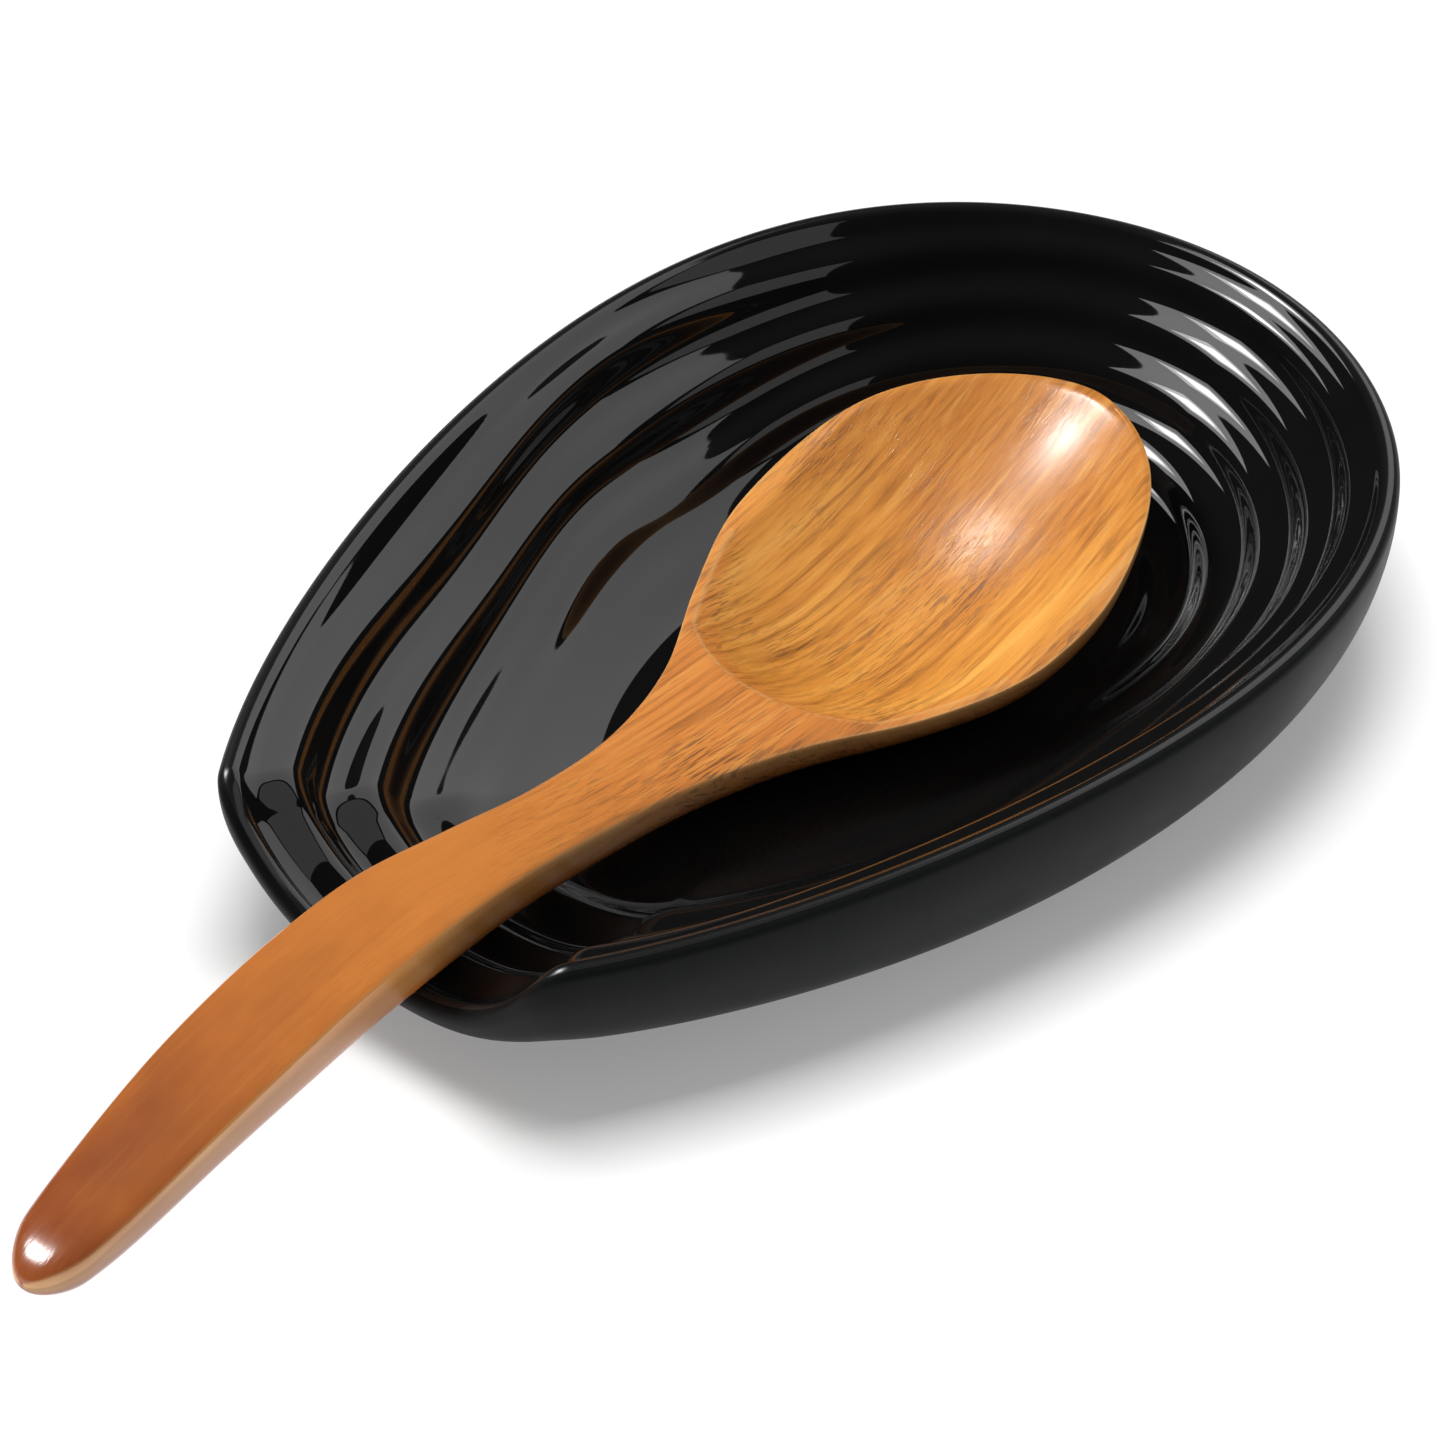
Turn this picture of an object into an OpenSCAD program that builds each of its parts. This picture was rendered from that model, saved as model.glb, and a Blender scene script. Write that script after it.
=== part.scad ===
// Spoon rest with a wooden spoon.
// The origin is the centre of the foot, on the surface that the dish stands on.
// +Z is up, and +Y runs along the spoon towards the wide end of the dish.

/* [Dish] */
// Half of the rim's greatest width
rim_half_w = 73.7; // [70:0.1:76]
// Half of the rim's length, from its far end to where its sides would meet
rim_half_l = 118.3; // [114:0.1:122]
// How far the rim's middle lies behind the foot's centre
rim_back = 18.6; // [16:0.1:22]
// Height of the rim above the table
rim_h = 37.4; // [35:0.1:40]
// How much the far end of the rim stands above its middle
rim_rise = 0.8; // [0:0.1:2]
// Radius of the rounded rim
rim_r = 2.1; // [1.8:0.05:2.4]
// Angle round the rim, from the far end, at which the lip starts
lip_angle = 150.4; // [148:0.1:152]
// How far the lip dips below the rim
lip_drop = 20.1; // [17:0.1:20.3]
// How steeply the rim falls at the lip's corners
lip_sharpness = 2.9; // [2.5:0.1:4]
// How far the lip bulges outwards
lip_bulge = 0.1; // [0:0.1:2]
// Length along each side of a corner that its rounding takes up
corner_reach = 4; // [2:0.5:6]
// Half width of the foot
foot_half_w = 49.7; // [46:0.1:52]
// Half length of the foot
foot_half_l = 68.3; // [64:0.1:70]
// Height of the foot ring
foot_h = 1.6; // [1:0.1:2]
// Width of the foot ring's flat face
foot_ring_w = 5; // [3:0.5:8]
// Half width of the dish's flat floor
floor_half_w = 30; // [29:0.5:32]
// Half length of the dish's flat floor
floor_half_l = 48; // [47:0.5:50]
// Height of the floor's upper face above the table
floor_z = 6.5; // [5.5:0.1:7]
// How fast the inner wall steepens from floor to rim: 1 is a straight slope
wall_curve = 1.7; // [1.5:0.05:1.8]

/* [Ripples] */
// How many ripples the inner wall has at the dish's sides
side_ripples = 4; // [3:0.5:5]
// How many ripples the inner wall has at the far end
far_ripples = 6; // [4:0.5:6]
// Height of a ripple above the wall's own surface
ripple_h = 1.2; // [0:0.05:1.2]
// How far a ripple wanders up and down the wall, in ripples
ripple_wander = 0.1; // [0:0.02:0.16]

/* [Spoon] */
// Distance from the foot's centre to the bowl's tip
bowl_tip = 64; // [61:1:66]
// Distance from the foot's centre to the handle's end
handle_end = 197.3; // [190:0.1:205]
// Half of the bowl's greatest width
bowl_half_w = 34.4; // [32:0.1:35]
// Depth of the bowl's hollow at its deepest
hollow_depth = 11; // [8:0.5:11]
// Width of the flat rim round the hollow
bowl_rim_w = 1.8; // [1.4:0.2:3]
// Height of the handle's crown above its edges
crown_h = 1.5; // [0.5:0.1:2]

/* [Fineness] */
// Steps along each side of the rim
side_steps = 40; // [24:2:44]
// Steps round the spoon's cross-section
section_steps = 44; // [32:4:48]

/* [Hidden] */

// ---- the rim's crest line, from the far end round the right side to the middle of the lip ----
corner_steps = 4;
lip_steps = 12;
egg = [0.013, -0.105, -0.059];
widest_shift = 0.256;

function rim_x(a) =
    rim_half_w * sin(a) * (1 + egg[0] * cos(a) + egg[1] * pow(cos(a), 2) + egg[2] * pow(cos(a), 3));
function rim_y(a) = -rim_back + rim_half_l * (cos(a) + widest_shift * pow(sin(a), 2));
function side_point(a) = [rim_x(a), rim_y(a), rim_h + rim_rise * cos(a)];

lip_corner = side_point(lip_angle);
function lip_point(s) = [
    lip_corner[0] * (1 - s),
    lip_corner[1] - lip_bulge * (1 - pow(1 - s, 2)),
    lip_corner[2] - lip_drop * (1 - pow(1 - s, lip_sharpness))
];

// The side's and the lip's own values at which the corner's rounding begins and ends.
side_speed = norm(side_point(lip_angle) - side_point(lip_angle - 1));
side_last = lip_angle - corner_reach / side_speed;
lip_first = corner_reach / lip_corner[0];

function corner_point(t) =
    pow(1 - t, 2) * side_point(side_last) + 2 * t * (1 - t) * lip_corner + t * t * lip_point(lip_first);

right_half = concat(
    [for (i = [0 : side_steps - 1]) side_point(side_last * i / side_steps)],
    [for (i = [0 : corner_steps - 1]) corner_point(i / corner_steps)],
    [for (i = [0 : lip_steps]) lip_point(lip_first + (1 - lip_first) * i / lip_steps)]
);
half_count = len(right_half);
left_half = [for (i = [half_count - 2 : -1 : 1]) [-right_half[i][0], right_half[i][1], right_half[i][2]]];
crest = concat(right_half, left_half);
around = len(crest);

function flat(p) = [p[0], p[1]];
function unit(v) = v / norm(v);
// Outward direction in plan at crest point j. The crest runs clockwise seen from above.
function outward(j) =
    let (t = flat(crest[(j + 1) % around]) - flat(crest[(j + around - 1) % around]))
    unit([-t[1], t[0]]);
// Point of an ellipse in the direction of a plan point.
function on_ellipse(p, half_w, half_l) =
    let (u = unit(p)) u / sqrt(pow(u[0] / half_w, 2) + pow(u[1] / half_l, 2));
// Angle of crest point j round the dish, 0 at the far end.
function bearing(j) = atan2(crest[j][0], crest[j][1]);

// ---- the dish's section, one column of points for each crest point ----
outer_steps = 12;
rim_steps = 6;
// Angle that the rounded rim turns through before the inner wall starts.
rim_turn = 140;
inner_steps = 34;
floor_steps = 5;

function outer_wall(j, tau) =
    let (
        top = flat(crest[j]) + rim_r * outward(j),
        foot = on_ellipse(flat(crest[j]), foot_half_w, foot_half_l),
        top_z = crest[j][2] - rim_r,
        p = foot + (top - foot) * cos(tau)
    )
    [p[0], p[1], foot_h + (top_z - foot_h) * (1 - sin(tau))];

function rim_tube(j, a) =
    let (p = flat(crest[j]) + rim_r * cos(a) * outward(j))
    [p[0], p[1], crest[j][2] - rim_r + rim_r * sin(a)];

// The inner wall's own curve: shares of its run, at steps of even length from the rim to the floor.
curve_steps = 200;
wall_lengths = [
    for (i = 0, s = 0; i <= curve_steps; s = s + norm(wall_step(i)), i = i + 1) [s, 1 - i / curve_steps]
];
function wall_rise(out) = pow(max(0, out), wall_curve);
function wall_step(i) =
    let (a = 1 - i / curve_steps, b = 1 - (i + 1) / curve_steps) [a - b, wall_rise(a) - wall_rise(b)];
wall_length = wall_lengths[curve_steps][0];
function wall_out(share) = lookup(share * wall_length, wall_lengths);

// The ripples die out at the rim and on the floor, crowd together at the far end, and wander.
// The first one starts in its own trough, so that the wall doesn't steepen at the rim.
// Shares of the wall's length over which they die out: at the rim, at the sides' floor, at the far floor.
rim_fade = 0.08;
side_floor_fade = 0.55;
far_floor_fade = 0.3;
// Where in its turn the first ripple starts at the sides and at the far end, in ripples.
side_start = 0.35;
far_start = 0.49;
trough = 0.5;
// A second, crossing set of ripples, against the first: its height, count and turns round the dish.
cross_h = 0.28;
cross_count = 2.6;
cross_turns = 5;
// Height of a ripple at the far end, against one of the same length at the sides.
far_share = 0.65;
// The wander is two waves round the dish. The second, lower one also drifts down the wall.
wander_waves = [3, 5];
wander_at = [-23, 115];
wander_second = 0.7;
wander_drift = 172;
function smooth(v) = let (t = min(1, max(0, v))) t * t * (3 - 2 * t);
function ripple(j, share) =
    let (
        b = bearing(j),
        far = pow(max(0, cos(b)), 2),
        count = side_ripples + (far_ripples - side_ripples) * far,
        floor_fade = side_floor_fade + (far_floor_fade - side_floor_fade) * far,
        fade = smooth(share / rim_fade) * smooth((1 - share) / floor_fade),
        start = side_start + (far_start - side_start) * far,
        first = sin(wander_waves[0] * b + wander_at[0]),
        second = wander_second * sin(wander_waves[1] * b + wander_at[1] + wander_drift * share),
        turns = max(trough, count * share + start + ripple_wander * (first + second)),
        main = cos(360 * turns) + 1 - smooth(2 * share),
        cross = cross_h * cos(360 * cross_count * share + cross_turns * b)
    )
    ripple_h * side_ripples / count * (1 - (1 - far_share) * far) * fade * (main + cross);

function inner_wall(j, share) =
    let (
        top = flat(crest[j]) + rim_r * cos(rim_turn) * outward(j),
        low = on_ellipse(flat(crest[j]), floor_half_w, floor_half_l),
        run = norm(top - low),
        rise = crest[j][2] - rim_r + rim_r * sin(rim_turn) - floor_z,
        out = wall_out(share),
        slope = wall_curve * pow(max(0, out), wall_curve - 1) * rise / run,
        lift = ripple(j, share) / sqrt(1 + slope * slope),
        p = low + unit(top - low) * (run * out - lift * slope)
    )
    [p[0], p[1], floor_z + rise * wall_rise(out) + lift];

function floor_ring(j, k) =
    let (p = k * on_ellipse(flat(crest[j]), floor_half_w, floor_half_l)) [p[0], p[1], floor_z];

function all_around(rule) = [for (j = [0 : around - 1]) rule(j)];

dish_rings = concat(
    [for (i = [outer_steps : -1 : 1]) all_around(function (j) outer_wall(j, 90 * i / outer_steps))],
    [for (i = [0 : rim_steps]) all_around(function (j) rim_tube(j, rim_turn * i / rim_steps))],
    [for (i = [1 : inner_steps]) all_around(function (j) inner_wall(j, i / inner_steps))],
    [for (i = [floor_steps - 1 : -1 : 1]) all_around(function (j) floor_ring(j, i / floor_steps))]
);

// A closed skin over a stack of rings, with a middle point at each end.
module skin(rings, first, last) {
    n = len(rings[0]);
    m = len(rings);
    points = concat([for (r = rings) each r], [first, last]);
    sides = [
        for (i = [0 : m - 2])
            for (j = [0 : n - 1])
                let (k = (j + 1) % n)
                    each [
                        [i * n + j, i * n + k, (i + 1) * n + k],
                        [i * n + j, (i + 1) * n + k, (i + 1) * n + j]
                    ]
    ];
    start_cap = [for (j = [0 : n - 1]) [m * n, (j + 1) % n, j]];
    end_cap = [for (j = [0 : n - 1]) [m * n + 1, (m - 1) * n + j, (m - 1) * n + (j + 1) % n]];
    polyhedron(points = points, faces = concat(start_cap, sides, end_cap), convexity = 6);
}

foot_overlap = 1;
foot_inset = 1.5;
foot_turn = 5;
module foot_ellipse(inset) {
    half_w = foot_half_w - inset;
    half_l = foot_half_l - inset;
    polygon([for (a = [0 : foot_turn : 360 - foot_turn]) [half_w * cos(a), half_l * sin(a)]]);
}

module foot_ring() {
    linear_extrude(foot_h + foot_overlap)
        difference() {
            foot_ellipse(foot_inset);
            foot_ellipse(foot_inset + foot_ring_w);
        }
}

module spoon_rest() {
    color("#17181a") {
        skin(dish_rings, [0, 0, foot_h], [0, 0, floor_z]);
        foot_ring();
    }
}

// ---- the spoon, as sections across its length ----
// Each key: place along Y, half width, edge height, depth of the underside below the edge, crown,
// and how boxy the underside is (2 is an ellipse).
spoon_keys = [
    [-handle_end, 6.0, 6.9, 4.8, 4.0, 2.2],
    [-182, 8.2, 12.8, 9.2, 2.5, 2.4],
    [-160, 9.9, 20.4, 10.3, crown_h, 3.0],
    [-142, 10.4, 24.8, 10.7, crown_h, 3.6],
    [-126, 10.4, 27.2, 10.8, crown_h, 3.8],
    [-110, 10.1, 27.8, 10.8, crown_h, 3.6],
    [-91, 8.7, 25.6, 10.2, crown_h, 3.0],
    [-70, 8.1, 21.9, 9.4, crown_h, 2.6],
    [-50, 9.6, 19.5, 9.3, crown_h, 2.4],
    [-30, 15.5, 18.3, 9.9, 1.2, 2.3],
    [-11, 25.8, 18.4, 10.9, 0.8, 2.3],
    [6, 32.9, 20.4, 13.3, 0.6, 2.3],
    [23, bowl_half_w, 23.9, 15.0, 0.6, 2.3],
    [40, bowl_half_w, 28.7, 15.4, 0.6, 2.3],
    [bowl_tip, bowl_half_w, 30.6, 14.0, 0.6, 2.2]
];
bowl_round_from = 17;
tip_power = 0.57;
end_round = 9;

// Smooth curve through column c of the keys, at place y.
function key_index(y, i = 0) =
    i >= len(spoon_keys) - 2 || y < spoon_keys[i + 1][0] ? i : key_index(y, i + 1);
function slope(i, c) =
    let (a = spoon_keys[max(i - 1, 0)], b = spoon_keys[min(i + 1, len(spoon_keys) - 1)])
    (b[c] - a[c]) / (b[0] - a[0]);
function key_value(y, c) =
    let (
        i = key_index(y),
        p = spoon_keys[i],
        q = spoon_keys[i + 1],
        d = q[0] - p[0],
        t = (y - p[0]) / d
    )
    p[c] * (2 * pow(t, 3) - 3 * t * t + 1) + q[c] * (3 * t * t - 2 * pow(t, 3))
        + d * slope(i, c) * (pow(t, 3) - 2 * t * t + t) + d * slope(i + 1, c) * (pow(t, 3) - t * t);

// Quarter-round factors that close the handle's end and the bowl's tip.
function end_factor(y) = sqrt(max(0, 1 - pow(max(0, end_round - handle_end - y) / end_round, 2)));
function tip_factor(y) =
    pow(max(0, 1 - pow(max(0, y - bowl_round_from) / (bowl_tip - bowl_round_from), 2)), tip_power);
function half_width(y) = key_value(y, 1) * end_factor(y) * tip_factor(y);
function depth_below(y) = key_value(y, 3) * end_factor(y) * tip_factor(y);
function crown(y) = key_value(y, 4) * end_factor(y) * tip_factor(y);

// The hollow: a bowl of smooth curves inside the rim, closed near the neck by an arc.
hollow_start = -25;
hollow_end = bowl_tip - bowl_rim_w;
neck_arc_r = 28;
neck_arc_half_w = 30;
ridge_softness = 0.35;
hollow_power = 2.6;
function hollow_half_width(y) =
    let (back = min(1, max(0, (hollow_start + neck_arc_r - y) / neck_arc_r)))
    min(max(0.1, half_width(y) - bowl_rim_w), max(0.1, neck_arc_half_w * sqrt(1 - back * back)));
function hollow(x, y) =
    let (
        v = (2 * y - hollow_start - hollow_end) / (hollow_end - hollow_start),
        along = max(-1, 1 - pow(abs(v), hollow_power)),
        across = max(-1, 1 - pow(x / hollow_half_width(y), 2)),
        h = hollow_depth * (along > 0 && across > 0 ? along * across : min(along, across))
    )
    (h + sqrt(h * h + ridge_softness * ridge_softness)) / 2;

upper_power = 3;
function arch(c, power) = pow(max(0, 1 - pow(abs(c), power)), 1 / power);
function spoon_point(y, a) =
    let (x = half_width(y) * cos(a), edge = key_value(y, 2))
    sin(a) >= 0
        ? [x, y, edge + crown(y) * arch(cos(a), upper_power) - hollow(x, y)]
        : [x, y, edge - depth_below(y) * arch(cos(a), key_value(y, 5))];

// Places of the sections: close together at both ends. The bowl's are part even, part crowded at its tip.
end_sections = 7;
even_share = 0.4;
handle_sections = 30;
bowl_sections = 34;
bowl_from = -36;
end_places = [for (i = [1 : end_sections]) -handle_end + end_round * (1 - cos(90 * i / end_sections))];
handle_places = [
    for (i = [1 : handle_sections])
        -handle_end + end_round + (bowl_from + handle_end - end_round) * i / handle_sections
];
bowl_places = [
    for (i = [1 : bowl_sections - 1])
        let (f = i / bowl_sections, g = even_share * f + (1 - even_share) * sin(90 * f))
            bowl_from + (bowl_tip - bowl_from) * g
];
spoon_places = concat(end_places, handle_places, bowl_places);
spoon_rings = [
    for (y = spoon_places) [for (i = [0 : section_steps - 1]) spoon_point(y, 360 * i / section_steps)]
];

module wooden_spoon() {
    color("#b5702f")
        skin(
            spoon_rings,
            [0, -handle_end, key_value(-handle_end, 2)],
            [0, bowl_tip, key_value(bowl_tip, 2)]
        );
}

spoon_rest();
wooden_spoon();
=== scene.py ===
"""The looks of a spoon rest with a wooden spoon: fine meshes, materials, light and camera."""
import math

import bpy
import numpy as np
from mathutils import Matrix, Vector


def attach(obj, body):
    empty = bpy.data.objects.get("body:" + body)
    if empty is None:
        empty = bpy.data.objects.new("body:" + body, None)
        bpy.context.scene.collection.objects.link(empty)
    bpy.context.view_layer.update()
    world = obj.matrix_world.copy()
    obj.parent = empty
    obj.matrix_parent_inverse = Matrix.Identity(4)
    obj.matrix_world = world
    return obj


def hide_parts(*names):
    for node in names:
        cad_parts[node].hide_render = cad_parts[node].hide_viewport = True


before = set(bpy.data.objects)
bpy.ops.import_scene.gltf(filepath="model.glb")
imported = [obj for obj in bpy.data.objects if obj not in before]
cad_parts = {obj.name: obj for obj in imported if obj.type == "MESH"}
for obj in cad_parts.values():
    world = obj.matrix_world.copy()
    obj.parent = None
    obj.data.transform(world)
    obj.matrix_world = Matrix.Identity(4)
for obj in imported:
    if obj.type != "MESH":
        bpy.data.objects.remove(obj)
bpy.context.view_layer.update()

# Lengths in the shape formulas are millimetres in the frame's own axes: +Y runs along the spoon.
MM = 0.001

# ---- the dish: driving dimensions ----
RIM_HALF_W = 73.7
RIM_HALF_L = 118.3
RIM_BACK = 18.6
RIM_H = 37.4
RIM_RISE = 0.8
RIM_R = 2.1
# How the rim's plan departs from an ellipse: factors of the angle's cosine, its square and cube.
EGG = (0.013, -0.105, -0.059)
# How far its widest place is shifted to the far end, as a share of the half length.
WIDEST_SHIFT = 0.256
LIP_ANGLE = math.radians(150.4)
LIP_DROP = 20.1
LIP_SHARPNESS = 2.9
LIP_BULGE = 0.1
CORNER_REACH = 4.0
FOOT_HALF = (49.7, 68.3)
FOOT_H = 1.6
FOOT_INSET = 1.5
FOOT_RING_W = 5.0
FOOT_BEVEL = 0.4
# The foot ring's rounded roots: how far they reach from it, and how far they drop.
INNER_ROOT = (2.0, 0.3)
OUTER_ROOT = 0.2
ROOT_DROP = 0.1
FLOOR_HALF = (30.0, 48.0)
FLOOR_Z = 6.5
WALL_CURVE = 1.7
RIM_TURN = math.radians(140)

# Which rings of the underside are the foot ring's bare clay.
BARE_RINGS = slice(3, 9)
# Gloss from the outside of the rounded rim to its inside, cut to between 0 and 1.
GLOSS_OVER_RIM = (-0.6, 1.1)

# ---- the dish: steps of its mesh ----
SIDE_STEPS = 190
CORNER_STEPS = 16
LIP_STEPS = 50
WALL_STEPS = 170
FLOOR_STEPS = 26
RIM_STEPS = 18
OUTER_STEPS = 40
# Points of the fine curve from which the wall's even steps are taken.
CURVE_POINTS = 2000

# ---- ripples of the inner wall ----
# How many there are from rim to floor, at the far end and at the sides, and their height.
RIPPLES_FAR = 6.0
RIPPLES_SIDE = 4.0
RIPPLE_H = 1.2
# Share by which the far end's ripples are lower than their shorter length makes them.
FAR_CUT = 0.35
# Shares of the wall's length over which they die out: at the rim, and at the floor.
RIM_FADE = 0.08
SIDE_FLOOR_FADE = 0.55
FAR_FLOOR_FADE = 0.30
# Where in its turn the first ripple starts, in ripples. It waits in its trough until then.
SIDE_START = 0.35
FAR_START = 0.49
TROUGH = 0.5
# Two waves round the dish that make the ripples wander: height in ripples, waves, phase.
WANDER_FIRST = (0.10, 3, -0.4)
WANDER_SECOND = (0.07, 5, 2.0)
# How far the second wave's phase drifts down the wall.
WANDER_DRIFT = 3
# A lower set of ripples that crosses the first one.
CROSS_H = 0.28
CROSS_COUNT = 2.6
CROSS_WAVES = 5


def side_point(angle):
    """Points of the rim's crest line at an angle from its far end, on the right side."""
    c, s = np.cos(angle), np.sin(angle)
    x = RIM_HALF_W * s * (1 + EGG[0] * c + EGG[1] * c**2 + EGG[2] * c**3)
    y = -RIM_BACK + RIM_HALF_L * (c + WIDEST_SHIFT * s**2)
    return np.stack([x, y, RIM_H + RIM_RISE * c], -1)


def lip_point(share):
    """Points of the low lip, from its right corner (0) to its middle (1)."""
    corner = side_point(LIP_ANGLE)
    left = 1 - share
    x = corner[0] * left
    y = corner[1] - LIP_BULGE * (1 - left**2)
    z = corner[2] - LIP_DROP * (1 - left**LIP_SHARPNESS)
    return np.stack([x, y, z], -1)


def crest_line():
    """The closed crest of the rim: far end, right side, lip, left side."""
    corner = side_point(LIP_ANGLE)
    degree = math.radians(1)
    side_speed = np.linalg.norm(side_point(LIP_ANGLE) - side_point(LIP_ANGLE - degree)) / degree
    side_last = LIP_ANGLE - CORNER_REACH / side_speed
    lip_first = CORNER_REACH / corner[0]
    side = side_point(np.linspace(0, side_last, SIDE_STEPS, endpoint=False))
    t = np.linspace(0, 1, CORNER_STEPS, endpoint=False)[:, None]
    bend = (1 - t) ** 2 * side_point(side_last) + 2 * t * (1 - t) * corner + t**2 * lip_point(lip_first)
    lip = lip_point(np.linspace(lip_first, 1, LIP_STEPS + 1))
    right = np.concatenate([side, bend, lip])
    left = right[1:-1][::-1] * np.array([-1, 1, 1])
    return np.concatenate([right, left])


def on_ellipse(plan, half):
    """Points of an ellipse in the directions of plan points."""
    unit = plan / np.linalg.norm(plan, axis=-1, keepdims=True)
    return unit / np.sqrt((unit[..., :1] / half[0]) ** 2 + (unit[..., 1:] / half[1]) ** 2)


def outward(crest):
    """Outward directions in plan at the crest's points."""
    step = np.roll(crest[:, :2], -1, 0) - np.roll(crest[:, :2], 1, 0)
    step /= np.linalg.norm(step, axis=1, keepdims=True)
    return np.stack([-step[:, 1], step[:, 0]], -1)


def bump_at(value, middle, width):
    """A bell curve: 1 where a value meets the middle, and near 0 beyond two widths."""
    return np.exp(-(((value - middle) / width) ** 2))


def smooth(value):
    """A gentle step from 0 to 1."""
    t = np.clip(value, 0, 1)
    return t * t * (3 - 2 * t)


def wander(bearing, depth):
    """How far the ripples are shifted down the wall, in ripples."""
    high, waves, phase = WANDER_FIRST
    first = high * np.sin(waves * bearing + phase)
    high, waves, phase = WANDER_SECOND
    return first + high * np.sin(waves * bearing + phase + WANDER_DRIFT * depth)


def ripple(bearing, depth):
    """Height of the ripples at a bearing round the dish and a share of the way down the wall."""
    far = np.clip(np.cos(bearing), 0, 1) ** 2
    floor_fade = SIDE_FLOOR_FADE + (FAR_FLOOR_FADE - SIDE_FLOOR_FADE) * far
    fade = smooth(depth / RIM_FADE) * smooth((1 - depth) / floor_fade)
    count = RIPPLES_SIDE + (RIPPLES_FAR - RIPPLES_SIDE) * far
    start = SIDE_START + (FAR_START - SIDE_START) * far
    turns = np.maximum(TROUGH, count * depth + start + wander(bearing, depth))
    main = np.cos(2 * np.pi * turns) + 1 - smooth(2 * depth)
    cross = CROSS_H * np.cos(2 * np.pi * CROSS_COUNT * depth + CROSS_WAVES * bearing)
    height = RIPPLE_H * RIPPLES_SIDE / count * (1 - FAR_CUT * far)
    return height * fade * (main + cross)


def wall_profile():
    """Shares of the wall's run and rise, and its steepness, at even steps of its length."""
    out = np.linspace(1, 0, CURVE_POINTS)
    up = out**WALL_CURVE
    length = np.concatenate([[0], np.cumsum(np.hypot(np.diff(out), np.diff(up)))])
    share = np.linspace(0, 1, WALL_STEPS + 1)
    out = np.interp(share, length / length[-1], out)
    return out, out**WALL_CURVE, WALL_CURVE * out ** (WALL_CURVE - 1)


def wall_rings(crest, out):
    """Rings of the inner wall, from the rim to the floor."""
    bearing = np.arctan2(crest[:, 0], crest[:, 1])
    top = crest[:, :2] + RIM_R * math.cos(RIM_TURN) * out
    low = on_ellipse(crest[:, :2], FLOOR_HALF)
    run = np.linalg.norm(top - low, axis=1)
    towards_rim = (top - low) / run[:, None]
    rise = crest[:, 2] - RIM_R + RIM_R * math.sin(RIM_TURN) - FLOOR_Z
    along, up, steepness = wall_profile()
    rings = []
    for i in range(1, WALL_STEPS + 1):
        slope = rise * steepness[i] / run
        lift = ripple(bearing, i / WALL_STEPS) / np.hypot(1, slope)
        plan = low + towards_rim * (run * along[i] - lift * slope)[:, None]
        rings.append(np.column_stack([plan, FLOOR_Z + rise * up[i] + lift]))
    return rings


def outer_rings(crest, out):
    """Rings of the outside, from the foot up to the rim."""
    top = crest[:, :2] + RIM_R * out
    foot = on_ellipse(crest[:, :2], FOOT_HALF)
    top_z = crest[:, 2] - RIM_R
    rings = []
    for turn in np.linspace(math.pi / 2, 0, OUTER_STEPS + 1)[:-1]:
        plan = foot + (top - foot) * math.cos(turn)
        z = FOOT_H + (top_z - FOOT_H) * (1 - math.sin(turn))
        rings.append(np.column_stack([plan, z]))
    return rings


def rim_rings(crest, out):
    """Rings of the rounded rim, from outside to inside."""
    rings = []
    for turn in np.linspace(0, RIM_TURN, RIM_STEPS + 1):
        plan = crest[:, :2] + RIM_R * math.cos(turn) * out
        rings.append(np.column_stack([plan, crest[:, 2] - RIM_R + RIM_R * math.sin(turn)]))
    return rings


def floor_rings(crest):
    """Rings of the flat floor, from its edge in to its middle."""
    edge = on_ellipse(crest[:, :2], FLOOR_HALF)
    rings = []
    for share in np.linspace(1, 0, FLOOR_STEPS + 1)[1:-1]:
        rings.append(np.column_stack([share * edge, np.full(len(edge), FLOOR_Z)]))
    return rings


def grown(half, by):
    """An ellipse's two half sizes, both larger by one step."""
    return (half[0] + by, half[1] + by)


def under_rings(crest):
    """Rings of the underside, from its middle out over the foot ring, whose roots are rounded."""
    outer = grown(FOOT_HALF, -FOOT_INSET)
    inner = grown(outer, -FOOT_RING_W)
    steps = [
        ((inner[0] / 2, inner[1] / 2), FOOT_H),
        (grown(inner, -INNER_ROOT[0]), FOOT_H),
        (grown(inner, -INNER_ROOT[1]), FOOT_H - ROOT_DROP),
        (inner, FOOT_H - FOOT_BEVEL),
        (inner, FOOT_BEVEL),
        (grown(inner, FOOT_BEVEL), 0),
        (grown(outer, -FOOT_BEVEL), 0),
        (outer, FOOT_BEVEL),
        (outer, FOOT_H - FOOT_BEVEL),
        (grown(outer, OUTER_ROOT), FOOT_H - ROOT_DROP),
    ]
    rings = []
    for half, z in steps:
        plan = on_ellipse(crest[:, :2], half)
        rings.append(np.column_stack([plan, np.full(len(plan), float(z))]))
    return rings


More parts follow.
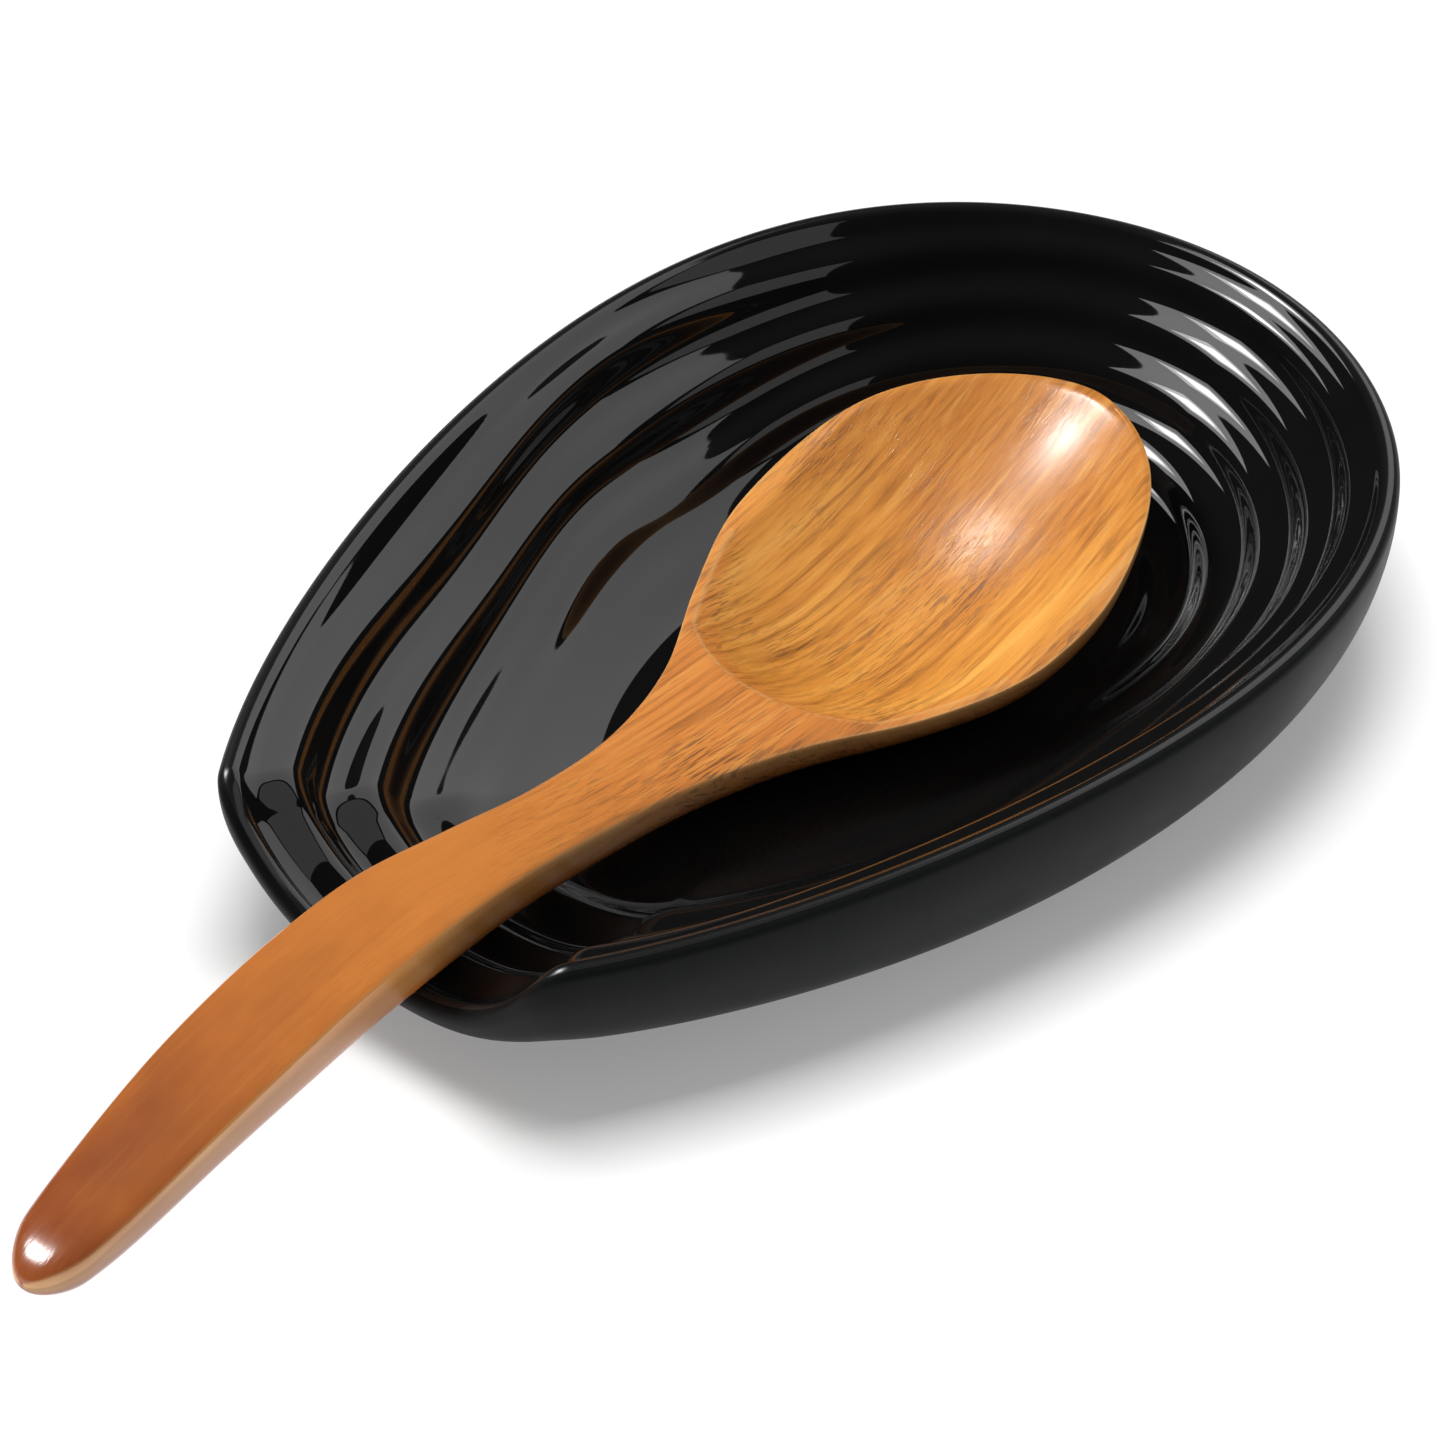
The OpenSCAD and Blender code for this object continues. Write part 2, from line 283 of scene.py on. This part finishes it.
def skin(name, rings, first, last):
    """A closed mesh over a stack of rings with a middle point at each end."""
    n = len(rings[0])
    m = len(rings)
    points = np.concatenate(list(rings) + [[first], [last]])
    around = np.arange(n)
    after = (around + 1) % n
    faces = [(m * n, int(after[j]), int(j)) for j in around]
    for i in range(m - 1):
        a, b = i * n, (i + 1) * n
        faces += [(a + int(j), a + int(k), b + int(k), b + int(j)) for j, k in zip(around, after)]
    faces += [(m * n + 1, (m - 1) * n + int(j), (m - 1) * n + int(after[j])) for j in around]
    mesh = bpy.data.meshes.new(name)
    mesh.from_pydata((points * MM).tolist(), [], faces)
    mesh.update()
    mesh.polygons.foreach_set("use_smooth", np.ones(len(mesh.polygons), bool))
    piece = bpy.data.objects.new(name, mesh)
    bpy.context.scene.collection.objects.link(piece)
    return piece


def mark(piece, name, values):
    """Give each point of a piece a value that its material can read."""
    attribute = piece.data.attributes.new(name, "FLOAT", "POINT")
    attribute.data.foreach_set("value", np.asarray(values, np.float32))


def mark_dish(piece, n, below, rim_count, ring_count):
    """Say where the clay is bare and where the glaze is glossy: n points to a ring."""
    bare = np.zeros(ring_count)
    bare[BARE_RINGS] = 1
    mark(piece, "bare", np.concatenate([np.repeat(bare, n), [0, 0]]))
    gloss = np.zeros(ring_count)
    gloss[below:below + rim_count] = np.clip(np.linspace(*GLOSS_OVER_RIM, rim_count), 0, 1)
    gloss[below + rim_count:] = 1
    mark(piece, "gloss", np.concatenate([np.repeat(gloss, n), [0, 1]]))
    inside = np.zeros(len(piece.data.polygons), np.int32)
    inside[n * (below + rim_count // 2):] = 1
    piece.data.polygons.foreach_set("material_index", inside)


def make_dish():
    """The dish as one closed mesh, with what its materials need to know."""
    crest = crest_line()
    out = outward(crest)
    under = under_rings(crest)
    outer = outer_rings(crest, out)
    rim = rim_rings(crest, out)
    rings = under + outer + rim + wall_rings(crest, out) + floor_rings(crest)
    piece = skin("glazed_dish", rings, (0, 0, FOOT_H), (0, 0, FLOOR_Z))
    mark_dish(piece, len(crest), len(under) + len(outer), len(rim), len(rings))
    return piece


# ---- the spoon ----
HANDLE_END = 197.3
BOWL_TIP = 64.0
BOWL_HALF_W = 34.4
HOLLOW_DEPTH = 11.0
HOLLOW_POWER = 2.6
BOWL_RIM_W = 1.8
CROWN_H = 1.5
BOWL_ROUND_FROM = 17
TIP_POWER = 0.57
END_ROUND = 9.0
HOLLOW_START = -25.0
NECK_ARC_R = 28.0
NECK_ARC_HALF_W = 30.0
RIDGE_SOFTNESS = 0.35
UPPER_POWER = 3
# Least half width of the hollow, which keeps its sums finite.
LEAST_W = 0.1

# ---- the spoon: steps of its mesh ----
SPOON_AROUND = 150
SPOON_STEP = 0.75
END_SECTIONS = 12
# Length at the bowl's tip over which the sections crowd together, and how many they are.
TIP_REACH = 20
TIP_SECTIONS = 47

# ---- the spoon: what its material reads ----
# The bowl's own colour grows with the hollow's depth, and along the spoon from a first place.
TAN_DEPTH = 3
TAN_FROM = -15
TAN_LENGTH = 40
# Width of the worn band on the spoon's outer edge.
WORN_BAND = 0.35
# The ridge between neck and bowl: the hollow's depth there, the band's width, and its last place.
RIDGE_DEPTH = 0.25
RIDGE_BAND = 0.16
RIDGE_LAST = 4

# Place along Y, half width, edge height, depth below the edge, crown, boxiness of the underside.
SPOON_KEYS = np.array([
    (-HANDLE_END, 6.0, 6.9, 4.8, 4.0, 2.2),
    (-182, 8.2, 12.8, 9.2, 2.5, 2.4),
    (-160, 9.9, 20.4, 10.3, CROWN_H, 3.0),
    (-142, 10.4, 24.8, 10.7, CROWN_H, 3.6),
    (-126, 10.4, 27.2, 10.8, CROWN_H, 3.8),
    (-110, 10.1, 27.8, 10.8, CROWN_H, 3.6),
    (-91, 8.7, 25.6, 10.2, CROWN_H, 3.0),
    (-70, 8.1, 21.9, 9.4, CROWN_H, 2.6),
    (-50, 9.6, 19.5, 9.3, CROWN_H, 2.4),
    (-30, 15.5, 18.3, 9.9, 1.2, 2.3),
    (-11, 25.8, 18.4, 10.9, 0.8, 2.3),
    (6, 32.9, 20.4, 13.3, 0.6, 2.3),
    (23, BOWL_HALF_W, 23.9, 15.0, 0.6, 2.3),
    (40, BOWL_HALF_W, 28.7, 15.4, 0.6, 2.3),
    (BOWL_TIP, BOWL_HALF_W, 30.6, 14.0, 0.6, 2.2),
])


def key_values(y):
    """Smooth values of the spoon's keys at places y: one row of columns 1 to 5 for each place."""
    place = SPOON_KEYS[:, 0]
    last = len(place) - 1
    before = np.maximum(np.arange(last + 1) - 1, 0)
    behind = np.minimum(np.arange(last + 1) + 1, last)
    slopes = (SPOON_KEYS[behind] - SPOON_KEYS[before]) / (place[behind] - place[before])[:, None]
    i = np.clip(np.searchsorted(place, y, side="right") - 1, 0, last - 1)
    gap = place[i + 1] - place[i]
    t = ((y - place[i]) / gap)[:, None]
    gap = gap[:, None]
    ends = SPOON_KEYS[i] * (2 * t**3 - 3 * t**2 + 1) + SPOON_KEYS[i + 1] * (3 * t**2 - 2 * t**3)
    bend = slopes[i] * (t**3 - 2 * t**2 + t) + slopes[i + 1] * (t**3 - t**2)
    return (ends + gap * bend)[:, 1:]


def closing(y):
    """How far the section shrinks towards the handle's end and the bowl's tip."""
    end = np.sqrt(np.clip(1 - (np.clip(END_ROUND - HANDLE_END - y, 0, None) / END_ROUND) ** 2, 0, 1))
    reach = np.clip(y - BOWL_ROUND_FROM, 0, None) / (BOWL_TIP - BOWL_ROUND_FROM)
    return end * np.clip(1 - reach**2, 0, 1) ** TIP_POWER


def hollow(x, y, half_w):
    """Depth of the bowl's hollow at plan points."""
    hollow_end = BOWL_TIP - BOWL_RIM_W
    v = (2 * y - HOLLOW_START - hollow_end) / (hollow_end - HOLLOW_START)
    back = np.clip((HOLLOW_START + NECK_ARC_R - y) / NECK_ARC_R, 0, 1)
    inner = np.maximum(LEAST_W, half_w - BOWL_RIM_W)
    w = np.minimum(inner, np.maximum(LEAST_W, NECK_ARC_HALF_W * np.sqrt(1 - back**2)))
    along = np.maximum(-1, 1 - np.abs(v) ** HOLLOW_POWER)
    across = np.maximum(-1, 1 - (x / w) ** 2)
    inside = (along > 0) & (across > 0)
    h = HOLLOW_DEPTH * np.where(inside, along * across, np.minimum(along, across))
    return (h + np.sqrt(h**2 + RIDGE_SOFTNESS**2)) / 2


def spoon_places():
    """Places of the sections along the spoon: close together at both ends."""
    closed = np.arange(1, END_SECTIONS + 1) / END_SECTIONS
    end = -HANDLE_END + END_ROUND * (1 - np.cos(closed * math.pi / 2))
    tip_from = BOWL_TIP - TIP_REACH
    middle = np.arange(end[-1] + SPOON_STEP, tip_from, SPOON_STEP)
    crowded = np.linspace(0, 1, TIP_SECTIONS + 1)[:-1]
    tip = tip_from + TIP_REACH * np.sin(crowded * math.pi / 2)
    return np.concatenate([end, middle, tip])


def arch(c, power):
    """A curve from 0 at both edges (c is -1 or 1) to 1 in the middle: an ellipse at power 2."""
    return np.clip(1 - np.abs(c) ** power, 0, 1) ** (1 / power)


def spoon_marks(c, top, place, half_w, sunk):
    """How much each point of a section belongs to the bowl, to the worn edges, and to the sides and
    underside, which get painted shade.
    """
    in_bowl = np.clip(sunk / TAN_DEPTH + (place - TAN_FROM) / TAN_LENGTH, 0, 1)
    rim = bump_at(half_w * (1 - np.abs(c)), 0, WORN_BAND)
    ridge = bump_at(sunk, RIDGE_DEPTH, RIDGE_BAND) * (place < RIDGE_LAST)
    return {
        "bowl": np.where(top, in_bowl, 0),
        "edge": np.maximum(rim, np.where(top, ridge, 0)),
        # Painted shade: every point below the spoon's top edge, on its sides and underside, is marked for
        # darkening.
        "side": np.where(top, 0.0, 1.0),
    }


def spoon_sections():
    """Rings of the spoon, and what its material needs to know at each point."""
    y = spoon_places()
    keys = key_values(y)
    close = closing(y)
    turn = np.linspace(0, 2 * math.pi, SPOON_AROUND, endpoint=False)
    c = np.cos(turn)
    top = np.sin(turn) >= 0
    rings = []
    marks = []
    for i, place in enumerate(y):
        half_w, edge, depth, crown, boxy = keys[i]
        half_w, depth, crown = half_w * close[i], depth * close[i], crown * close[i]
        x = half_w * c
        sunk = hollow(x, place, half_w)
        upper = edge + crown * arch(c, UPPER_POWER) - sunk
        lower = edge - depth * arch(c, boxy)
        rings.append(np.column_stack([x, np.full(len(x), place), np.where(top, upper, lower)]))
        marks.append(spoon_marks(c, top, place, half_w, sunk))
    return rings, marks


def make_spoon():
    """The spoon as one closed mesh, with what its material needs to know."""
    ends = key_values(np.array([-HANDLE_END, BOWL_TIP]))[:, 1]
    rings, marks = spoon_sections()
    piece = skin("lacquered_spoon", rings, (0, -HANDLE_END, ends[0]), (0, BOWL_TIP, ends[1]))
    for name in marks[0]:
        mark(piece, name, np.concatenate([*(part[name] for part in marks), [0, 0]]))
    return piece


# ---- materials ----
class Nodes:
    """Small helper that adds nodes to a material and links them."""

    def __init__(self, name):
        self.material = bpy.data.materials.new(name)
        self.material.use_nodes = True
        self.tree = self.material.node_tree
        self.shader = self.tree.nodes["Principled BSDF"]

    def add(self, kind, **inputs):
        """A new node with values or links for its named inputs."""
        node = self.tree.nodes.new(kind)
        for key, value in inputs.items():
            self.put(node.inputs[key.replace("_", " ")], value)
        return node

    def put(self, socket, value):
        """Link an output to a socket, or set the socket to a plain value."""
        if isinstance(value, bpy.types.NodeSocket):
            self.tree.links.new(value, socket)
        else:
            socket.default_value = value

    def coordinates(self, scale):
        """Places on the piece in metres, with each axis scaled on its own."""
        place = self.tree.nodes.new("ShaderNodeTexCoord").outputs["Object"]
        return self.add("ShaderNodeMapping", Vector=place, Scale=scale).outputs["Vector"]

    def noise(self, vector, scale, detail, rough=0.5, distortion=0.0):
        """A cloudy pattern with so many cells to a metre."""
        node = self.add("ShaderNodeTexNoise", Vector=vector, Scale=scale, Detail=detail,
                        Roughness=rough, Distortion=distortion)
        return node.outputs["Fac"]

    def ramp(self, value, stops):
        """A colour for a value, between stops of a value and a colour."""
        node = self.tree.nodes.new("ShaderNodeValToRGB")
        self.put(node.inputs["Fac"], value)
        elements = node.color_ramp.elements
        while len(elements) < len(stops):
            elements.new(0.5)
        for element, (place, colour) in zip(elements, stops):
            element.position = place
            element.color = colour
        return node.outputs["Color"]

    def grey(self, value, low, high, a=0.0, b=1.0):
        """The value's span from low to high, spread over a to b and held there beyond its ends."""
        node = self.add("ShaderNodeMapRange", Value=value, From_Min=low, From_Max=high, To_Min=a, To_Max=b)
        return node.outputs["Result"]

    def mix(self, share, a, b):
        """Colour a where the share is 0, and colour b where it is 1."""
        node = self.tree.nodes.new("ShaderNodeMix")
        node.data_type = "RGBA"
        self.put(node.inputs[0], share)
        self.put(node.inputs[6], a)
        self.put(node.inputs[7], b)
        return node.outputs[2]

    def maths(self, operation, a, b):
        """One sum on two values."""
        node = self.tree.nodes.new("ShaderNodeMath")
        node.operation = operation
        self.put(node.inputs[0], a)
        self.put(node.inputs[1], b)
        return node.outputs[0]

    def attribute(self, name):
        """A value that was marked on the piece's points."""
        node = self.tree.nodes.new("ShaderNodeAttribute")
        node.attribute_name = name
        return node.outputs["Fac"]

    def bump(self, height, distance):
        """Small relief: the height's full span stands for a distance in metres."""
        node = self.add("ShaderNodeBump", Height=height, Distance=distance, Strength=1.0)
        return node.outputs["Normal"]


# Linear colours of the glaze, the clay, the wood and the floor.
GLAZE_DEEP = (0.0030, 0.0030, 0.0032, 1)
GLAZE_CLOUD = (0.0052, 0.0050, 0.0048, 1)
GLAZE_RIM = (0.010, 0.0104, 0.0108, 1)
SATIN_DARK = (0.0040, 0.0044, 0.0046, 1)
SATIN_PALE = (0.0070, 0.0075, 0.0078, 1)
CLAY_DARK = (0.16, 0.125, 0.10, 1)
CLAY_PALE = (0.30, 0.25, 0.21, 1)
NECK_ORANGE = (0.72, 0.235, 0.040, 1)
END_RED_BROWN = (0.27, 0.048, 0.008, 1)
HANDLE_FIGURE = (0.36, 0.092, 0.022, 1)
BOWL_TANS = (
    (0.30, (0.52, 0.180, 0.024, 1)),
    (0.50, (0.72, 0.285, 0.040, 1)),
    (0.70, (0.84, 0.39, 0.070, 1)),
)
TIP_ORANGE = (0.55, 0.185, 0.027, 1)
DARK_STREAK = (0.24, 0.076, 0.012, 1)
PALE_STREAK = (0.90, 0.50, 0.12, 1)
OPEN_PORE = (0.11, 0.042, 0.014, 1)
WORN_EDGE = (0.76, 0.42, 0.15, 1)
# Painted shade for the spoon's sides and underside.
PAINTED_SIDE_SHADE = (0.20, 0.066, 0.014, 1)
FLOOR_DARK = (0.39, 0.39, 0.39, 1)
FLOOR_PALE = (0.41, 0.41, 0.41, 1)
WHITE = (1, 1, 1, 1)

# Roughness of each finish.
GLOSS_ROUGH = 0.035
RIM_ROUGH = 0.34
SATIN_ROUGH = (0.34, 0.42)
CLAY_ROUGH = 0.85
LACQUER_ROUGH = (0.21, 0.30)
PORE_ROUGH = 0.2

# Depths in metres that the bumps stand for.
GLAZE_WAVE = 0.00004
SATIN_GRAIN = 0.00001
WOOD_GRAIN = 0.00008

# Places along the spoon, in metres from the foot's centre.
HANDLE_BACK = (-0.10, -0.185)
GRAIN_OPENS = (-0.095, -0.045)
LACQUER_CHANGES = (-0.12, -0.02)
UNWORKED_TIP = (0.018, 0.045)
TIP_REDDENS = (0.0, 0.045)


def glaze_noises(m):
    """Fine specks and broad clouds, the same for both glazes."""
    place = m.coordinates((1, 1, 1))
    return m.noise(place, 900, 3, 0.6), m.noise(place, 60, 3, 0.5)


def gloss_material():
    """Polished black glaze of the inner wall and floor; it dulls towards the rim."""
    m = Nodes("black_glaze")
    gloss = m.attribute("gloss")
    speck, cloud = glaze_noises(m)
    black = m.mix(cloud, GLAZE_DEEP, GLAZE_CLOUD)
    m.put(m.shader.inputs["Base Color"], m.mix(gloss, GLAZE_RIM, black))
    uneven = m.maths("ADD", gloss, m.grey(cloud, 0.3, 0.7, -0.02, 0.02))
    m.put(m.shader.inputs["Roughness"], m.grey(uneven, 0, 1, RIM_ROUGH, GLOSS_ROUGH))
    m.shader.inputs["IOR"].default_value = 1.5
    wave = m.noise(m.coordinates((1, 1, 1)), 45, 1, 0.4)
    height = m.maths("ADD", wave, m.maths("MULTIPLY", speck, 0.02))
    m.put(m.shader.inputs["Normal"], m.bump(height, GLAZE_WAVE))
    return m.material


def satin_material():
    """Satin black glaze of the outside, with a bare clay foot ring."""
    m = Nodes("satin_glaze")
    bare = m.attribute("bare")
    speck, cloud = glaze_noises(m)
    satin = m.mix(speck, SATIN_DARK, SATIN_PALE)
    clay = m.mix(speck, CLAY_DARK, CLAY_PALE)
    m.put(m.shader.inputs["Base Color"], m.mix(bare, satin, clay))
    rough = m.grey(cloud, 0.3, 0.7, *SATIN_ROUGH)
    clay_rough = m.maths("MULTIPLY", bare, CLAY_ROUGH)
    m.put(m.shader.inputs["Roughness"], m.maths("MAXIMUM", rough, clay_rough))
    m.shader.inputs["Specular IOR Level"].default_value = 0.06
    m.put(m.shader.inputs["Normal"], m.bump(speck, SATIN_GRAIN))
    return m.material


def wood_colour(m, along, figure, patch):
    """Tan in the bowl, orange at its tip and at the neck, red-brown towards the handle's end."""
    wobble = m.maths("ADD", along, m.grey(patch, 0.3, 0.7, -0.02, 0.02))
    handle = m.mix(m.grey(wobble, *HANDLE_BACK), NECK_ORANGE, END_RED_BROWN)
    handle = m.mix(m.grey(figure, 0.55, 0.75, 0.0, 0.35), handle, HANDLE_FIGURE)
    redder = m.grey(wobble, *TIP_REDDENS, 0.0, 0.6)
    tan = m.mix(redder, m.ramp(figure, BOWL_TANS), TIP_ORANGE)
    return m.mix(m.attribute("bowl"), handle, tan)


def streaked(m, colour, streak, open_grain):
    """The colour with dark and pale streaks, which fade out on the handle."""
    dark = m.maths("MULTIPLY", m.grey(streak, 0.50, 0.70, 0.0, 0.7), open_grain)
    colour = m.mix(dark, colour, DARK_STREAK)
    pale = m.maths("MULTIPLY", m.grey(streak, 0.48, 0.30, 0.0, 0.4), open_grain)
    return m.mix(pale, colour, PALE_STREAK)


def open_pores(m, along, patch, open_grain):
    """Where the wood's pores are open: in patches, mostly in the bowl's worked middle."""
    pore = m.noise(m.coordinates((1, 0.06, 0.3)), 3000, 2, 0.5)
    worked = m.maths("MULTIPLY", m.grey(patch, 0.40, 0.66, 0.12, 1.0), open_grain)
    worked = m.maths("MULTIPLY", worked, m.grey(along, *UNWORKED_TIP, 1.0, 0.15))
    return m.maths("MULTIPLY", m.grey(pore, 0.53, 0.63), worked)


def wood_material():
    """Open-pored orange wood under a satin lacquer, worn pale along its edges, with painted shade on its
    sides and underside.
    """
    m = Nodes("lacquered_wood")
    parts = m.tree.nodes.new("ShaderNodeSeparateXYZ")
    m.put(parts.inputs[0], m.coordinates((1, 1, 1)))
    along = parts.outputs["Y"]
    figure = m.noise(m.coordinates((1, 0.08, 0.4)), 75, 4, 0.6, 1.0)
    patch = m.noise(m.coordinates((1, 0.5, 1)), 51, 3, 0.6)
    streak = m.noise(m.coordinates((1, 0.030, 0.2)), 700, 4, 0.65, 0.3)
    open_grain = m.grey(along, *GRAIN_OPENS, 0.12, 1.0)
    pores = open_pores(m, along, patch, open_grain)
    colour = streaked(m, wood_colour(m, along, figure, patch), streak, open_grain)
    colour = m.mix(m.maths("MULTIPLY", pores, 0.85), colour, OPEN_PORE)
    worn = m.maths("MULTIPLY", m.attribute("edge"), m.grey(patch, 0.3, 0.6, 0.95, 0.45))
    colour = m.mix(worn, colour, WORN_EDGE)
    # Painted shade: the sides and underside are darkened towards a dark brown.
    colour = m.mix(m.maths("MULTIPLY", m.attribute("side"), 0.45), colour, PAINTED_SIDE_SHADE)
    m.put(m.shader.inputs["Base Color"], colour)
    satin = m.grey(along, *LACQUER_CHANGES, *LACQUER_ROUGH)
    rough = m.maths("ADD", satin, m.maths("MULTIPLY", pores, PORE_ROUGH))
    m.put(m.shader.inputs["Roughness"], rough)
    m.shader.inputs["Specular IOR Level"].default_value = 1.0
    height = m.maths("SUBTRACT", m.maths("MULTIPLY", streak, 0.5), pores)
    m.put(m.shader.inputs["Normal"], m.bump(height, WOOD_GRAIN))
    return m.material


def floor_material():
    """A pale floor that glows a little, which lightens the shadow on it."""
    m = Nodes("pale_floor")
    cloud = m.noise(m.coordinates((1, 1, 1)), 3, 2)
    m.put(m.shader.inputs["Base Color"], m.mix(cloud, FLOOR_DARK, FLOOR_PALE))
    m.shader.inputs["Emission Color"].default_value = WHITE
    m.shader.inputs["Emission Strength"].default_value = 0.25
    m.shader.inputs["Roughness"].default_value = 0.9
    m.shader.inputs["Specular IOR Level"].default_value = 0.1
    return m.material


# ---- the studio ----
# Brightness of the surroundings, as rough surfaces and as polished ones see them.
FILL = 0.55
DARK_ROOM = 0.01
# Half the floor's width in metres, and how many cells it has along it.
FLOOR_REACH = 6.0
FLOOR_CELLS = 12
# Where the dish's main light stands: azimuth and elevation in degrees, and its distance.
KEY_AT = (-107, 50, 1.5)
# It is three squares of light round one middle, for a soft edge: name, width, power.
KEY_SQUARES = (("key", 0.30, 8.5), ("key_ring", 0.48, 8.0), ("key_glow", 0.90, 9.0))
# Places that the spoon's own two lights aim at, in metres.
BOWL_MIDDLE = (0, 0.030, 0.022)
HANDLE_MIDDLE = (0, -0.150, 0.022)


def direction(azimuth, elevation):
    """Unit vector at an azimuth from +Y towards +X and an elevation, in degrees."""
    a, e = math.radians(azimuth), math.radians(elevation)
    return Vector((math.sin(a) * math.cos(e), math.cos(a) * math.cos(e), math.sin(e)))


def softbox(name, azimuth, elevation, distance, width, height, power, aim=(0, 0, 0), spread=180):
    """A rectangular light that faces a place from a direction in degrees and a distance."""
    data = bpy.data.lights.new(name, "AREA")
    data.shape = "RECTANGLE"
    data.size = width
    data.size_y = height
    data.energy = power
    data.spread = math.radians(spread)
    lamp = bpy.data.objects.new(name, data)
    away = direction(azimuth, elevation)
    lamp.location = Vector(aim) + away * distance
    lamp.rotation_euler = away.to_track_quat("Z", "Y").to_euler()
    bpy.context.scene.collection.objects.link(lamp)
    return lamp


def wall_light(name, azimuth, distance, width, heights, radiance):
    """An upright light of an even radiance, between two heights at a distance from the dish."""
    tall = heights[1] - heights[0]
    lamp = softbox(name, azimuth, 0, distance, width, tall, math.pi * width * tall * radiance)
    lamp.location.z = (heights[0] + heights[1]) / 2
    return lamp


def make_floor():
    """A wide floor under the dish, which isn't part of the object."""
    ticks = np.linspace(-FLOOR_REACH, FLOOR_REACH, FLOOR_CELLS + 1)
    points = [(x, y, 0.0) for y in ticks for x in ticks]
    n = len(ticks)
    corners = [row * n + column for row in range(FLOOR_CELLS) for column in range(FLOOR_CELLS)]
    faces = [(a, a + 1, a + n + 1, a + n) for a in corners]
    mesh = bpy.data.meshes.new("floor")
    mesh.from_pydata(points, [], faces)
    floor = bpy.data.objects.new("floor", mesh)
    bpy.context.scene.collection.objects.link(floor)
    floor.data.materials.append(floor_material())
    return floor


def make_world():
    """Even fill light on rough surfaces; polished ones reflect a dark room."""
    world = bpy.data.worlds.new("studio")
    world.use_nodes = True
    tree = world.node_tree
    rays = tree.nodes.new("ShaderNodeLightPath")
    mix = tree.nodes.new("ShaderNodeMix")
    mix.data_type = "RGBA"
    tree.links.new(rays.outputs["Is Glossy Ray"], mix.inputs[0])
    mix.inputs[6].default_value = (FILL, FILL, FILL, 1)
    mix.inputs[7].default_value = (DARK_ROOM, DARK_ROOM, DARK_ROOM, 1)
    tree.links.new(mix.outputs[2], tree.nodes["Background"].inputs["Color"])
    bpy.context.scene.world = world


def light_only(lamp, piece):
    """The lamp lights only this piece."""
    group = bpy.data.collections.new(lamp.name + "_lights")
    group.objects.link(piece)
    lamp.light_linking.receiver_collection = group


def shaded_by(lamp, piece):
    """Only this piece casts a shadow in the lamp's light."""
    group = bpy.data.collections.new(lamp.name + "_shadows")
    group.objects.link(piece)
    lamp.light_linking.blocker_collection = group


def make_lights(dish, spoon, floor):
    """Lights that match the photo: each one reaches the dish, the spoon or the floor alone."""
    for name, size, power in KEY_SQUARES:
        light_only(softbox(name, *KEY_AT, size, size, power), dish)
    bowl_key = softbox("bowl_key", -105, 58, 1.0, 0.12, 0.12, 0.034, aim=BOWL_MIDDLE, spread=14)
    light_only(bowl_key, spoon)
    handle_key = softbox("handle_key", -128, 47, 1.0, 0.20, 0.20, 0.78, aim=HANDLE_MIDDLE, spread=60)
    light_only(handle_key, spoon)
    light_only(wall_light("side", 10, 1.5, 2.6, (0.50, 2.9), 1.5), dish)
    light_only(wall_light("side_dim", 78, 1.5, 1.2, (0.50, 2.4), 0.7), dish)
    floor_key = softbox("floor_key", -60, 89, 4, 2.0, 2.0, 280)
    light_only(floor_key, floor)
    shaded_by(floor_key, dish)


# ---- the camera, as solved from the photo ----
# Its turn round the target and height above it in degrees, its distance and target in millimetres.
CAMERA_TURN = 41.22
CAMERA_RAISE = 39.568
CAMERA_FAR = 1300
CAMERA_TARGET = (15.96, -51.33, 37.43)
# Width of its sensor and its focal length, in millimetres.
SENSOR = 36
LENS = 200.8


def make_camera():
    """A camera that looks at the target from the photo's own direction and distance."""
    a, e = math.radians(CAMERA_TURN), math.radians(CAMERA_RAISE)
    back = Vector((math.sin(a) * math.cos(e), -math.cos(a) * math.cos(e), math.sin(e)))
    right = Vector((math.cos(a), math.sin(a), 0))
    up = back.cross(right)
    data = bpy.data.cameras.new("camera")
    data.sensor_width = SENSOR
    data.lens = LENS
    data.clip_start = 0.01
    data.clip_end = 50
    camera = bpy.data.objects.new("camera", data)
    place = (Vector(CAMERA_TARGET) + CAMERA_FAR * back) * MM
    camera.matrix_world = Matrix((
        (right.x, up.x, back.x, place.x),
        (right.y, up.y, back.y, place.y),
        (right.z, up.z, back.z, place.z),
        (0, 0, 0, 1),
    ))
    bpy.context.scene.collection.objects.link(camera)
    bpy.context.scene.camera = camera


dish = make_dish()
dish.data.materials.append(satin_material())
dish.data.materials.append(gloss_material())
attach(dish, "dish")
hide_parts("spoon_rest")

spoon = make_spoon()
spoon.data.materials.append(wood_material())
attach(spoon, "spoon")
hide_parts("wooden_spoon")

make_world()
make_lights(dish, spoon, make_floor())
make_camera()
bpy.context.scene.view_settings.view_transform = "Standard"
